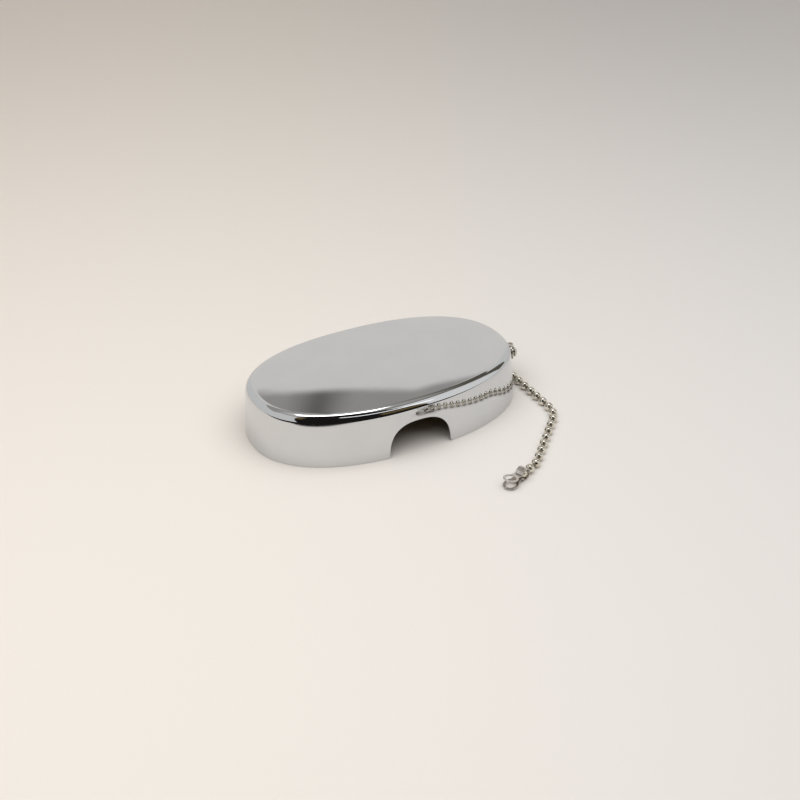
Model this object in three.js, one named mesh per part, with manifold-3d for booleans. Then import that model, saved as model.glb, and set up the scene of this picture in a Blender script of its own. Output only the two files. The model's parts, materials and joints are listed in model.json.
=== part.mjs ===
// Slip-on cover for an oval deck pipe, with its retaining ball chain.
// Millimetres, +Z up. The origin is the middle of the roof's flat underside, where the cap
// lands on the pipe. +X is the chain end of the cap, and the rode notch is in the -Y wall.
// The functions below count heights from the cap's open base, and the group is lowered at the end.
import * as THREE from 'three';
import { mergeVertices } from 'three/addons/utils/BufferGeometryUtils.js';
import Module from 'manifold-3d';

// Cap: a pressed cup of even thickness on a superellipse outline.
const CAP_HALF_LENGTH = 52;
const CAP_HALF_WIDTH = 32.5;
const OUTLINE_POWER = 2.3;
const CAP_HEIGHT = 19.8;
const CROWN_RISE = 1.0;
const CROWN_FLAT = 9;
const SHEET = 1.0;
const DRAFT_SLOPE = Math.tan(THREE.MathUtils.degToRad(4));
const EDGE_RADIUS = 3.3;
const ROOF_UNDERSIDE = CAP_HEIGHT + CROWN_RISE - SHEET;
const OUTLINE_STEPS = 64;
const EDGE_STEPS = 4;
const ROOF_STEPS = 3;

// Notch that lets the rode out: an arch on the cap's base.
const NOTCH_HALF_WIDTH = 12;
const NOTCH_HEIGHT = 12.5;
const NOTCH_POWER = 2.6;
const NOTCH_STEPS = 28;

// Rivet that holds the chain, set square to the end wall.
const RIVET_Y = -7;
const RIVET_Z = 13.6;
const RIVET_SHANK_R = 1.2;
const RIVET_HOLE_R = 1.5;
const RIVET_HEAD_R = 2.05;
const RIVET_HEAD_RISE = 1.35;
const RIVET_STANDOFF = 1.75;
const RIVET_TAIL_R = 1.9;
const RIVET_TAIL_RISE = 0.7;
const RIVET_TAIL_FLAT_R = 1.33;
const RIVET_TAIL_EDGE = 0.3;
const RIVET_SIDES = 20;
const WASHER_R = 2.6;
const WASHER_THICKNESS = 0.5;
const SEAT_GAP = 0.2;
const RIVET_HOLE_DEPTH = 6;
const RIVET_HOLE_SIDES = 24;
const DOME_STEPS = 4;

// Ball chain: hollow balls joined by wire links whose heads are trapped inside the balls.
const BALL_COUNT = 22;
const BALL_R = 1.6;
const BALL_INNER_R = 1.42;
const BALL_HOLE_R = 0.7;
const CHAIN_PITCH = 4.28;
const HEAD_R = 0.72;
const HEAD_OFFSET = 0.78;
const WIRE_R = 0.28;
const BALL_SIDES = 10;
const LINK_SIDES = 8;
const BALL_OUTSIDE_STEPS = 5;
const BALL_INSIDE_STEPS = 4;
const HEAD_STEPS = 3;

// Couplings: a strip folded over the last ball into a barrel, with an eyelet at each end.
const COUPLING_LENGTH = 6.5;
const COUPLING_SHEET = 0.3;
const SOCKET_R = 2.15;
const SOCKET_INNER_R = 1.85;
const SOCKET_MOUTH_R = 1.45;
const SOCKET_SIDES = 28;
const SOCKET_SLIT = 0.5;
const SOCKET_FOLD_START = 0.43;
const MOUTH_SIDES = 12;
const MOUTH_STRETCH = 1.3;
const EYELET_R = 2.7;
const EYELET_HOLE_R = 1.8;
const NECK_HALF_WIDTH = 1.6;
const EYELET_STEPS = 8;
const CLOSED_GAP = 0.06;
const FREE_END_OPENING = 9.4;

// Lie of the chain at rest.
const COUPLING_OFF_WALL = 0.87;
const COUPLING_HANG = 17;
const COUPLING_LEAN = 7;
const FIRST_BALL_DIP = 30;
const LOOP_RADIUS = 5.2;
const LOOP_REACH = 2.6;
const CHAIN_X = 53.7;
const WALL_CORNER = { x: 53.6, y: -35.2, bend: 12 };
const FRONT_CORNER = { x: 29.4, y: -60.9, bend: 14 };
const CHAIN_END = { x: 17, y: -66.2, rise: 0.45 };
const FREE_BALL_Z = SOCKET_R + 0.05;
const FREE_COUPLING_HEADING = 181;
const FREE_COUPLING_DIP = 1.2;
const BEND_STEPS = 40;

// Fineness of the numeric steps.
const WELD_DISTANCE = 1e-4;
const ANGLE_NUDGE = 0.001;
const SOLVER_ROUNDS = 30;

const wasm = await Module();
wasm.setup();

const Y_AXIS = new THREE.Vector3(0, 1, 0);
const Z_AXIS = new THREE.Vector3(0, 0, 1);
const radians = THREE.MathUtils.degToRad;

const chrome = new THREE.MeshStandardMaterial({ color: 0xc9c9c6, roughness: 0.08, metalness: 1 });
const rivetMetal = new THREE.MeshStandardMaterial({ color: 0xc6c2b4, roughness: 0.22, metalness: 1 });
const washerMetal = new THREE.MeshStandardMaterial({ color: 0xb9a77c, roughness: 0.35, metalness: 1 });
const ballMetal = new THREE.MeshStandardMaterial({ color: 0xbdb7a6, roughness: 0.2, metalness: 1 });
const linkMetal = new THREE.MeshStandardMaterial({ color: 0xa8a08c, roughness: 0.3, metalness: 1 });
const couplingMetal = new THREE.MeshStandardMaterial({ color: 0xb4b2ab, roughness: 0.25, metalness: 1 });

// ---- solids ----

function welded(geometry) {
  const bare = geometry.clone();
  bare.deleteAttribute('normal');
  bare.deleteAttribute('uv');
  const merged = mergeVertices(bare, WELD_DISTANCE);
  const kept = [];
  const index = merged.index.array;
  for (let i = 0; i < index.length; i += 3) {
    const [a, b, c] = [index[i], index[i + 1], index[i + 2]];
    if (a !== b && b !== c && c !== a) kept.push(a, b, c);
  }
  merged.setIndex(kept);
  return merged;
}

function solidOf(geometry) {
  const closed = welded(geometry);
  return new wasm.Manifold(new wasm.Mesh({
    numProp: 3,
    vertProperties: new Float32Array(closed.attributes.position.array),
    triVerts: new Uint32Array(closed.index.array),
  }));
}

function geometryOf(solid) {
  const mesh = solid.getMesh();
  const geometry = new THREE.BufferGeometry();
  geometry.setAttribute('position', new THREE.BufferAttribute(mesh.vertProperties, 3));
  geometry.setIndex(new THREE.BufferAttribute(mesh.triVerts, 1));
  return geometry;
}

// A closed profile of (radius, height) points turned about +Z.
function turned(profile, sides) {
  const geometry = new THREE.LatheGeometry(profile, sides);
  geometry.rotateX(Math.PI / 2);
  return welded(geometry);
}

function arcPoints(centreHeight, radius, fromAngle, toAngle, steps) {
  const points = [];
  for (let i = 0; i <= steps; i += 1) {
    const angle = fromAngle + (toAngle - fromAngle) * i / steps;
    points.push(new THREE.Vector2(radius * Math.cos(angle), centreHeight + radius * Math.sin(angle)));
  }
  return points;
}

// ---- cap ----

function signedPower(value, power) {
  return Math.sign(value) * Math.abs(value) ** power;
}

// A point on the base outline and the outward normal there, for a parameter angle.
function outlineAt(angle) {
  const x = CAP_HALF_LENGTH * signedPower(Math.cos(angle), 2 / OUTLINE_POWER);
  const y = CAP_HALF_WIDTH * signedPower(Math.sin(angle), 2 / OUTLINE_POWER);
  const nx = signedPower(x / CAP_HALF_LENGTH, OUTLINE_POWER - 1) / CAP_HALF_LENGTH;
  const ny = signedPower(y / CAP_HALF_WIDTH, OUTLINE_POWER - 1) / CAP_HALF_WIDTH;
  return { point: new THREE.Vector2(x, y), normal: new THREE.Vector2(nx, ny).normalize() };
}

// Cup profile as (inset from the base outline, height), from the rim up one skin to the centre.
function skinProfile(offset) {
  const radius = EDGE_RADIUS - offset;
  const wallTop = CAP_HEIGHT - EDGE_RADIUS;
  const wallInset = DRAFT_SLOPE * wallTop + offset;
  const points = [new THREE.Vector2(offset, 0)];
  for (let i = 0; i <= EDGE_STEPS; i += 1) {
    const angle = Math.PI / 2 * i / EDGE_STEPS;
    points.push(new THREE.Vector2(
      wallInset + radius * (1 - Math.cos(angle)),
      wallTop + radius * Math.sin(angle),
    ));
  }
  return points;
}

// Points of the roof from the rounded edge to the centre: a shallow crown with a flat middle.
function roofProfile(edgeRadius, edgeHeight) {
  const rise = (radius) => CROWN_RISE * (1 - ((radius - CROWN_FLAT) / (edgeRadius - CROWN_FLAT)) ** 2);
  const points = [];
  for (let i = 1; i < ROOF_STEPS; i += 1) {
    const radius = THREE.MathUtils.lerp(edgeRadius, CROWN_FLAT, i / ROOF_STEPS);
    points.push(new THREE.Vector2(radius, edgeHeight + rise(radius)));
  }
  points.push(new THREE.Vector2(CROWN_FLAT, edgeHeight + CROWN_RISE));
  points.push(new THREE.Vector2(0, edgeHeight + CROWN_RISE));
  return points;
}

// The turned cup is round. Each of its points is moved to the same inset on the oval outline,
// and inside the rounded edge it is scaled towards the centre.
function capBlank() {
  const edgeRadius = CAP_HALF_LENGTH - DRAFT_SLOPE * (CAP_HEIGHT - EDGE_RADIUS) - EDGE_RADIUS;
  const toRound = (p) => new THREE.Vector2(CAP_HALF_LENGTH - p.x, p.y);
  const outer = [...skinProfile(0).map(toRound), ...roofProfile(edgeRadius, CAP_HEIGHT)];
  const inner = [...skinProfile(SHEET).map(toRound), ...roofProfile(edgeRadius, CAP_HEIGHT - SHEET)];
  const geometry = turned([...inner.reverse(), ...outer], OUTLINE_STEPS);
  const position = geometry.attributes.position;
  for (let i = 0; i < position.count; i += 1) {
    const x = position.getX(i);
    const y = position.getY(i);
    const round = Math.hypot(x, y);
    const { point, normal } = outlineAt(Math.atan2(y, x));
    const inset = CAP_HALF_LENGTH - Math.max(round, edgeRadius);
    const share = Math.min(round / edgeRadius, 1);
    const moved = point.addScaledVector(normal, -inset).multiplyScalar(share);
    position.setXY(i, moved.x, moved.y);
  }
  return solidOf(geometry);
}

function notchCutter() {
  const arch = new THREE.Shape();
  arch.moveTo(NOTCH_HALF_WIDTH, -1);
  for (let i = 0; i <= NOTCH_STEPS; i += 1) {
    const angle = Math.PI * i / NOTCH_STEPS;
    arch.lineTo(
      NOTCH_HALF_WIDTH * signedPower(Math.cos(angle), 2 / NOTCH_POWER),
      NOTCH_HEIGHT * signedPower(Math.sin(angle), 2 / NOTCH_POWER),
    );
  }
  arch.lineTo(-NOTCH_HALF_WIDTH, -1);
  arch.closePath();
  const cutter = new THREE.ExtrudeGeometry(arch, { depth: CAP_HALF_WIDTH, bevelEnabled: false });
  cutter.rotateX(Math.PI / 2);
  cutter.translate(0, -CAP_HALF_WIDTH / 2, 0);
  return solidOf(cutter);
}

// Frame of the rivet: origin on the wall's outer face, +Z square to the wall and outwards.
function rivetFrame() {
  let angle = 0;
  for (let i = 0; i < SOLVER_ROUNDS; i += 1) {
    const here = outlineAt(angle).point.y;
    const change = outlineAt(angle + ANGLE_NUDGE).point.y - here;
    angle += ANGLE_NUDGE * (RIVET_Y - here) / change;
  }
  const { point, normal } = outlineAt(angle);
  const base = point.addScaledVector(normal, -DRAFT_SLOPE * RIVET_Z);
  const outward = new THREE.Vector3(normal.x, normal.y, DRAFT_SLOPE).normalize();
  const frame = new THREE.Group();
  frame.position.set(base.x, base.y, RIVET_Z);
  frame.quaternion.setFromUnitVectors(Z_AXIS, outward);
  frame.updateMatrixWorld(true);
  return frame;
}

function capShell(frame) {
  const hole = new THREE.CylinderGeometry(RIVET_HOLE_R, RIVET_HOLE_R, RIVET_HOLE_DEPTH, RIVET_HOLE_SIDES);
  hole.rotateX(Math.PI / 2);
  hole.applyMatrix4(frame.matrixWorld);
  return geometryOf(capBlank().subtract(notchCutter()).subtract(solidOf(hole)));
}

// ---- rivet ----

function rivet() {
  const tailTop = -SHEET - 2 * SEAT_GAP - WASHER_THICKNESS;
  const domeRadius = (RIVET_HEAD_R ** 2 + RIVET_HEAD_RISE ** 2) / (2 * RIVET_HEAD_RISE);
  const domeCentre = RIVET_STANDOFF + RIVET_HEAD_RISE - domeRadius;
  const domeEdge = Math.asin((domeRadius - RIVET_HEAD_RISE) / domeRadius);
  const dome = arcPoints(domeCentre, domeRadius, domeEdge, Math.PI / 2, DOME_STEPS);
  dome[dome.length - 1].x = 0;
  return turned([
    new THREE.Vector2(0, tailTop - RIVET_TAIL_RISE),
    new THREE.Vector2(RIVET_TAIL_FLAT_R, tailTop - RIVET_TAIL_RISE),
    new THREE.Vector2(RIVET_TAIL_R, tailTop - RIVET_TAIL_EDGE),
    new THREE.Vector2(RIVET_TAIL_R, tailTop),
    new THREE.Vector2(RIVET_SHANK_R, tailTop),
    new THREE.Vector2(RIVET_SHANK_R, RIVET_STANDOFF),
    new THREE.Vector2(RIVET_HEAD_R, RIVET_STANDOFF),
    ...dome,
  ], RIVET_SIDES);
}

function washer() {
  const top = -SHEET - SEAT_GAP;
  const corners = [
    [RIVET_HOLE_R, top - WASHER_THICKNESS],
    [WASHER_R, top - WASHER_THICKNESS],
    [WASHER_R, top],
    [RIVET_HOLE_R, top],
    [RIVET_HOLE_R, top - WASHER_THICKNESS],
  ];
  return turned(corners.map(([radius, height]) => new THREE.Vector2(radius, height)), RIVET_SIDES);
}

// ---- chain ----

// A hollow ball with a hole at each end of its +Z axis.
function ball() {
  const outerEdge = Math.acos(BALL_HOLE_R / BALL_R);
  const innerEdge = Math.acos(BALL_HOLE_R / BALL_INNER_R);
  const outside = arcPoints(0, BALL_R, -outerEdge, outerEdge, BALL_OUTSIDE_STEPS);
  const inside = arcPoints(0, BALL_INNER_R, innerEdge, -innerEdge, BALL_INSIDE_STEPS);
  return turned([...outside, ...inside, outside[0].clone()], BALL_SIDES);
}

// A wire with a round head at each end. +Z runs along it, from the first head's centre.
function link() {
  const length = CHAIN_PITCH - 2 * HEAD_OFFSET;
  const join = Math.acos(WIRE_R / HEAD_R);
  const first = arcPoints(0, HEAD_R, -Math.PI / 2, join, HEAD_STEPS);
  const last = arcPoints(length, HEAD_R, -join, Math.PI / 2, HEAD_STEPS);
  first[0].x = 0;
  last[last.length - 1].x = 0;
  return turned([...first, ...last], LINK_SIDES);
}

// ---- coupling ----

function box(sizeX, sizeY, sizeZ, centreX, centreZ) {
  const geometry = new THREE.BoxGeometry(sizeX, sizeY, sizeZ);
  geometry.translate(centreX, 0, centreZ);
  return solidOf(geometry);
}

// The barrel round the ball. Its axis is Y, and the chain leaves by the mouth on the +X side,
// a slot along the strip.
function socketShell() {
  const width = 2 * NECK_HALF_WIDTH;
  const outer = solidOf(new THREE.CylinderGeometry(SOCKET_R, SOCKET_R, width, SOCKET_SIDES));
  const inner = solidOf(new THREE.CylinderGeometry(SOCKET_INNER_R, SOCKET_INNER_R, 2 * width, SOCKET_SIDES));
  const mouth = new THREE.CylinderGeometry(SOCKET_MOUTH_R, SOCKET_MOUTH_R, 2 * SOCKET_R, MOUTH_SIDES);
  mouth.rotateZ(Math.PI / 2);
  mouth.scale(1, 1, MOUTH_STRETCH);
  mouth.translate(SOCKET_R, 0, 0);
  return outer.subtract(inner).subtract(solidOf(mouth));
}

// One leaf: half of the barrel with its neck and eyelet. +X runs from the eyelet to the socket,
// whose centre is the origin, and the leaf lies on the +Z side.
function leaf(opening) {
  const outline = new THREE.Shape();
  const start = Math.asin(NECK_HALF_WIDTH / EYELET_R);
  const neckEnd = COUPLING_LENGTH - (SOCKET_R + SOCKET_INNER_R) / 2;
  outline.absarc(0, 0, EYELET_R, start, 2 * Math.PI - start, false);
  outline.lineTo(neckEnd, -NECK_HALF_WIDTH);
  outline.lineTo(neckEnd, NECK_HALF_WIDTH);
  outline.closePath();
  const hole = new THREE.Path();
  hole.absarc(0, 0, EYELET_HOLE_R, 0, 2 * Math.PI, true);
  outline.holes.push(hole);
  const plate = new THREE.ExtrudeGeometry(outline, {
    depth: COUPLING_SHEET, bevelEnabled: false, curveSegments: EYELET_STEPS,
  });
  plate.translate(-COUPLING_LENGTH, 0, CLOSED_GAP / 2);
  const half = box(2 * SOCKET_R, 2 * SOCKET_R, SOCKET_R, -SOCKET_R / 2, (SOCKET_R + SOCKET_SLIT) / 2);
  const cover = socketShell().intersect(half);
  return cover.add(solidOf(plate)).rotate([0, opening, 0]);
}

function coupling(opening) {
  const upper = leaf(opening);
  const lower = leaf(opening).rotate([180, 0, 0]);
  const front = box(2 * SOCKET_R, 2 * SOCKET_R, 3 * SOCKET_R, SOCKET_FOLD_START + SOCKET_R, 0);
  const fold = socketShell().intersect(front);
  return geometryOf(upper.add(lower).add(fold));
}

// ---- lie of the chain ----

// Straight runs between corners, with a round bend of the given radius at each corner.
function roundedPath(corners) {
  const points = [corners[0].at];
  for (let i = 1; i < corners.length - 1; i += 1) {
    const { at, radius } = corners[i];
    const into = at.clone().sub(corners[i - 1].at).normalize();
    const out = corners[i + 1].at.clone().sub(at).normalize();
    const turn = into.angleTo(out);
    const inward = out.clone().addScaledVector(into, -Math.cos(turn)).normalize();
    const start = at.clone().addScaledVector(into, -radius * Math.tan(turn / 2));
    for (let step = 0; step <= BEND_STEPS; step += 1) {
      const angle = turn * step / BEND_STEPS;
      points.push(start.clone()
        .addScaledVector(into, radius * Math.sin(angle))
        .addScaledVector(inward, radius * (1 - Math.cos(angle))));
    }
  }
  points.push(corners[corners.length - 1].at);
  return points;
}

// Joints of the chain: points along the path, a head spacing and a link length apart in turn.
function chainStations(path) {
  const stations = [path[0].clone()];
  let next = 1;
  for (let i = 1; i < 2 * BALL_COUNT; i += 1) {
    const here = stations[i - 1];
    const step = i % 2 ? 2 * HEAD_OFFSET : CHAIN_PITCH - 2 * HEAD_OFFSET;
    while (next < path.length - 1 && path[next].distanceTo(here) < step) next += 1;
    const from = path[next - 1];
    const along = path[next].clone().sub(from).normalize();
    const reach = from.clone().sub(here);
    const half = reach.dot(along);
    const travel = -half + Math.sqrt(half * half - reach.lengthSq() + step * step);
    stations.push(from.clone().addScaledVector(along, travel));
  }
  return stations;
}

const group = new THREE.Group();
group.position.z = -ROOF_UNDERSIDE;

function place(name, geometry, material, parent) {
  const mesh = new THREE.Mesh(geometry, material.clone());
  mesh.name = name;
  parent.add(mesh);
  return mesh;
}

const numbered = (name, number) => `${name}_${String(number).padStart(2, '0')}`;

const frame = rivetFrame();
const rivetGroup = new THREE.Group();
rivetGroup.position.copy(frame.position);
rivetGroup.quaternion.copy(frame.quaternion);
group.add(rivetGroup);
place('cap_shell', capShell(frame), chrome, group);
place('chain_rivet', rivet(), rivetMetal, rivetGroup);
place('rivet_washer', washer(), washerMetal, rivetGroup);

// The coupling at the cap hangs back from the rivet and leans out, so its socket clears the wall.
const outward = Z_AXIS.clone().applyQuaternion(frame.quaternion);
const sideways = Y_AXIS.clone().addScaledVector(outward, -Y_AXIS.dot(outward)).normalize();
const upward = outward.clone().cross(sideways);
const eyeletCentre = frame.position.clone().addScaledVector(outward, COUPLING_OFF_WALL);
const hang = radians(COUPLING_HANG);
const lean = radians(COUPLING_LEAN);
const alongCoupling = sideways.clone().multiplyScalar(Math.cos(hang) * Math.cos(lean))
  .addScaledVector(upward, -Math.sin(hang) * Math.cos(lean))
  .addScaledVector(outward, Math.sin(lean));
const firstBall = eyeletCentre.clone().addScaledVector(alongCoupling, COUPLING_LENGTH);

function placeCoupling(name, opening, socket, along, above) {
  const mesh = place(name, coupling(opening), couplingMetal, group);
  const side = above.clone().cross(along).normalize();
  const top = along.clone().cross(side);
  mesh.quaternion.setFromRotationMatrix(new THREE.Matrix4().makeBasis(along, side, top));
  mesh.position.copy(socket);
  return mesh;
}

// The chain drops behind the end wall in a loop, runs forwards along the foot of the wall,
// then bends away in front of the cap and ends in the open coupling.
const dip = radians(FIRST_BALL_DIP);
const firstHeading = new THREE.Vector3(0, Math.cos(dip), -Math.sin(dip));
const loopStart = firstBall.clone().addScaledVector(firstHeading, -HEAD_OFFSET);
const loopTop = firstBall.clone().addScaledVector(firstHeading, HEAD_OFFSET + LOOP_REACH);
const loopSlope = Math.tan((dip + Math.PI) / 2);
const loopFoot = new THREE.Vector3(CHAIN_X, loopTop.y - (loopTop.z - BALL_R) / loopSlope, BALL_R);
const path = roundedPath([
  { at: loopStart },
  { at: loopTop, radius: LOOP_RADIUS },
  { at: loopFoot, radius: LOOP_RADIUS },
  { at: new THREE.Vector3(WALL_CORNER.x, WALL_CORNER.y, BALL_R), radius: WALL_CORNER.bend },
  { at: new THREE.Vector3(FRONT_CORNER.x, FRONT_CORNER.y, BALL_R), radius: FRONT_CORNER.bend },
  { at: new THREE.Vector3(CHAIN_END.x, CHAIN_END.y, FREE_BALL_Z + CHAIN_END.rise) },
]);
const stations = chainStations(path);
const ballCentres = [];

const ballGeometry = ball();
const linkGeometry = link();
for (let i = 0; i < BALL_COUNT; i += 1) {
  const near = stations[2 * i];
  const far = stations[2 * i + 1];
  const along = far.clone().sub(near).normalize();
  const mesh = place(numbered('ball', i + 1), ballGeometry, ballMetal, group);
  mesh.position.copy(near).add(far).multiplyScalar(0.5);
  mesh.quaternion.setFromUnitVectors(Z_AXIS, along);
  ballCentres.push(mesh.position);
}
for (let i = 0; i < BALL_COUNT - 1; i += 1) {
  const near = stations[2 * i + 1];
  const along = stations[2 * i + 2].clone().sub(near).normalize();
  const mesh = place(numbered('link', i + 1), linkGeometry, linkMetal, group);
  mesh.position.copy(near);
  mesh.quaternion.setFromUnitVectors(Z_AXIS, along);
}

placeCoupling('coupling_cap_end', 0, firstBall, alongCoupling, outward);
const freeHeading = radians(FREE_COUPLING_HEADING);
const freeDip = radians(FREE_COUPLING_DIP);
const fromEyelet = new THREE.Vector3(
  -Math.cos(freeHeading) * Math.cos(freeDip),
  -Math.sin(freeHeading) * Math.cos(freeDip),
  Math.sin(freeDip),
);
placeCoupling('coupling_free_end', FREE_END_OPENING, ballCentres[BALL_COUNT - 1], fromEyelet, Z_AXIS);

export default group;
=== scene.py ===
import json
import math

import bmesh
import bpy
import numpy as np
from mathutils import Matrix, Vector
from mathutils.geometry import delaunay_2d_cdt


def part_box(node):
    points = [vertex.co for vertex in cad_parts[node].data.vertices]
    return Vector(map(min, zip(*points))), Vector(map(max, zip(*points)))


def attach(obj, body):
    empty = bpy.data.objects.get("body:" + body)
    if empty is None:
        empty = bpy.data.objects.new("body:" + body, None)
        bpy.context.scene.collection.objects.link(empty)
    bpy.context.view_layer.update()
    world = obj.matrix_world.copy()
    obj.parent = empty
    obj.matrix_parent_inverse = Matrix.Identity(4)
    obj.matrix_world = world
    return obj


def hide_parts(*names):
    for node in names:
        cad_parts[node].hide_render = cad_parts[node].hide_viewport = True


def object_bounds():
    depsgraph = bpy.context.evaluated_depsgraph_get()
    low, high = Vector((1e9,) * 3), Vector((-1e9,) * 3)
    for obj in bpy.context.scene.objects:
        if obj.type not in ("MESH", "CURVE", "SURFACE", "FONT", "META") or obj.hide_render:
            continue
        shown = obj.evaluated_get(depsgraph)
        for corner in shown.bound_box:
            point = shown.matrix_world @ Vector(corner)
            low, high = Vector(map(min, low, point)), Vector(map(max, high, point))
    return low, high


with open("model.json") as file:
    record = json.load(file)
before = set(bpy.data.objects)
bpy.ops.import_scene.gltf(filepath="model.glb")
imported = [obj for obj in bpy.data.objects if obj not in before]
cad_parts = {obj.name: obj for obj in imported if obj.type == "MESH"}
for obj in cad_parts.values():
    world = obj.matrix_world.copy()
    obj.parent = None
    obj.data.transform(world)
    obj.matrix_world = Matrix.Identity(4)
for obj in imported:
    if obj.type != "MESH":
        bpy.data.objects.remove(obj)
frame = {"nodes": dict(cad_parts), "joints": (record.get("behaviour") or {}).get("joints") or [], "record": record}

cad_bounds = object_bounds()

# Sizes below are in millimetres, as in the CAD. Heights of the cap count from its open base.
# The CAD's origin is under the middle of the roof, so the cap's box ends one sheet above it.
MM = 0.001
Z_AXIS = Vector((0, 0, 1))


def mm(point):
    return Vector(point) / MM


cap_low, cap_high = (mm(corner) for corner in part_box("cap_shell"))

# ---- cap sizes ----
HALF_LENGTH = (cap_high.x - cap_low.x) / 2
HALF_WIDTH = cap_high.y
BASE_Z = cap_low.z
SHEET = cap_high.z
TOTAL_HEIGHT = cap_high.z - cap_low.z
CROWN_RISE = 1.0
EDGE_HEIGHT = TOTAL_HEIGHT - CROWN_RISE
EDGE_RADIUS = 3.3
OUTLINE_POWER = 2.3
DRAFT = math.radians(4)
TOP_LEAN = math.radians(6.7)
WALL_TOP = EDGE_HEIGHT - EDGE_RADIUS * (1 - math.sin(TOP_LEAN))
WALL_BULGE = (math.tan(TOP_LEAN) - math.tan(DRAFT)) * WALL_TOP / 4
CROWN_POWER = 2.0
NOTCH_HALF_WIDTH = 12
NOTCH_HEIGHT = 12.5
NOTCH_POWER = 2.6
NOTCH_CORNER = 0.9
RIM_ROUND = 0.2
HOLE_R = 1.5

# ---- rivet, chain and coupling sizes ----
WALL_STANDOFF = 0.87
SEAT_GAP = 0.2
RIVET_STANDOFF = 1.75
RIVET_HEAD_R = 2.05
RIVET_HEAD_RISE = 1.35
RIVET_EDGE = 0.18
RIVET_SHANK_R = 1.2
RIVET_TAIL_R = 1.9
RIVET_TAIL_RISE = 0.7
TAIL_ROUND = 0.45
WASHER_R = 2.6
WASHER_THICKNESS = 0.5
BALL_R = 1.6
BALL_SHEET = 0.18
BALL_HOLE_R = 0.66
SEAM_DEPTH = 0.03
SEAM_WIDTH = 0.022
SEAM_TURN = 1.9
HEAD_R = 0.72
WIRE_R = 0.28
WIRE_ROUND = 0.12
COUPLING_LENGTH = 6.5
COUPLING_SHEET = 0.3
CLOSED_GAP = 0.06
FREE_END_OPENING = math.radians(9.4)
SOCKET_R = 2.15
SOCKET_INNER_R = 1.85
SOCKET_MOUTH_R = 1.25
MOUTH_STRETCH = 1.3
CREASE_R = 0.4
EYELET_R = 2.7
EYELET_HOLE_R = 1.8
NECK_HALF_WIDTH = 1.6
SHOULDER_R = 0.8
STRIP_ROUND = 0.1

# ---- mesh resolution ----
COLUMN_STEP = 0.9
BLOCK_HALF_WIDTH = 17
BLOCK_COLUMNS = 36
BLOCK_ROWS = 6
CORNER_STEPS = 6
WALL_ROWS = 16
FILLET_ROWS = 14
ROOF_ROWS = 30
STRIP_ANGLES = (30, 60, 90)
OUTLINE_POINTS = 20001
ARCH_POINTS = 4001
ANGLE_PASSES = 4
# The grid round the rivet hole: its half width and half height in hole radii, and its rings.
HOLE_BLOCK_REACH = (2.2, 1.7)
HOLE_BLOCK_RINGS = (0.6, 0.3, 0.0)
RIVET_SIDES = 96
WASHER_SIDES = 72
LINK_SIDES = 24
BALL_COLUMNS = 44
SEAM_COLUMNS = 13
SEAM_REACH = 3
BALL_STEPS = 26
BALL_INNER_STEPS = 12
LIP_STEPS = 8
DOME_STEPS = 28
EDGE_STEPS = 8
SMALL_STEPS = 5
WASHER_STEPS = 4
HEAD_STEPS = 14
STRIP_STEP = 0.13
# Least distance of the flat strip's inner points from its edges, in steps.
STRIP_CLEARANCE = 0.6
MERGE_DISTANCE = 1e-5

joints = {joint["name"]: joint for joint in frame["joints"]}
balls = sorted(name for name in frame["nodes"] if name.startswith("ball_"))
links = sorted(name for name in frame["nodes"] if name.startswith("link_"))


# ---- mesh helpers ----

def new_object(name, verts, faces, material):
    """A smooth mesh object from points in millimetres."""
    mesh = bpy.data.meshes.new(name)
    mesh.from_pydata([tuple(v) for v in np.asarray(verts, float) * MM], [], faces)
    mesh.polygons.foreach_set("use_smooth", [True] * len(mesh.polygons))
    mesh.materials.append(material)
    obj = bpy.data.objects.new(name, mesh)
    bpy.context.scene.collection.objects.link(obj)
    return obj


def point_outwards(obj):
    edit = bmesh.new()
    edit.from_mesh(obj.data)
    bmesh.ops.recalc_face_normals(edit, faces=edit.faces)
    if edit.calc_volume(signed=True) < 0:
        bmesh.ops.reverse_faces(edit, faces=edit.faces)
    edit.to_mesh(obj.data)
    edit.free()


def stands_for(obj, node, body):
    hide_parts(node)
    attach(obj, body)
    return obj


# ---- cap ----

def signed_power(value, power):
    return np.sign(value) * np.abs(value) ** power


def outline(angle):
    """Points of the base outline and the outward normals there."""
    x = HALF_LENGTH * signed_power(np.cos(angle), 2 / OUTLINE_POWER)
    y = HALF_WIDTH * signed_power(np.sin(angle), 2 / OUTLINE_POWER)
    nx = signed_power(x / HALF_LENGTH, OUTLINE_POWER - 1) / HALF_LENGTH
    ny = signed_power(y / HALF_WIDTH, OUTLINE_POWER - 1) / HALF_WIDTH
    size = np.hypot(nx, ny)
    return np.stack([x, y], -1), np.stack([nx / size, ny / size], -1)


def front_angle(x):
    """Outline angle of a point of the notch side."""
    return -np.arccos(signed_power(np.asarray(x) / HALF_LENGTH, OUTLINE_POWER / 2))


def even_angles(first, last, step):
    """Angles of points spaced evenly along the outline."""
    fine = np.linspace(first, last, OUTLINE_POINTS)
    points, _ = outline(fine)
    lengths = np.concatenate([[0], np.cumsum(np.hypot(*np.diff(points, axis=0).T))])
    count = round(lengths[-1] / step)
    return np.interp(np.linspace(0, lengths[-1], count + 1), lengths, fine)


def wall_lean(height):
    """How far the wall has leaned in at a height, and its lean there.

    The wall bulges slightly. It meets the plain draft at half height and stays inside it elsewhere.
    """
    part = np.asarray(height) / WALL_TOP
    inset = math.tan(DRAFT) * WALL_TOP * part + WALL_BULGE * (1 - 2 * part) ** 2
    return inset, np.arctan(math.tan(DRAFT) - 4 * WALL_BULGE * (1 - 2 * part) / WALL_TOP)


def upright(plan, height):
    return np.concatenate([plan, np.broadcast_to(height, plan.shape[:-1])[..., None]], -1)


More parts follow.
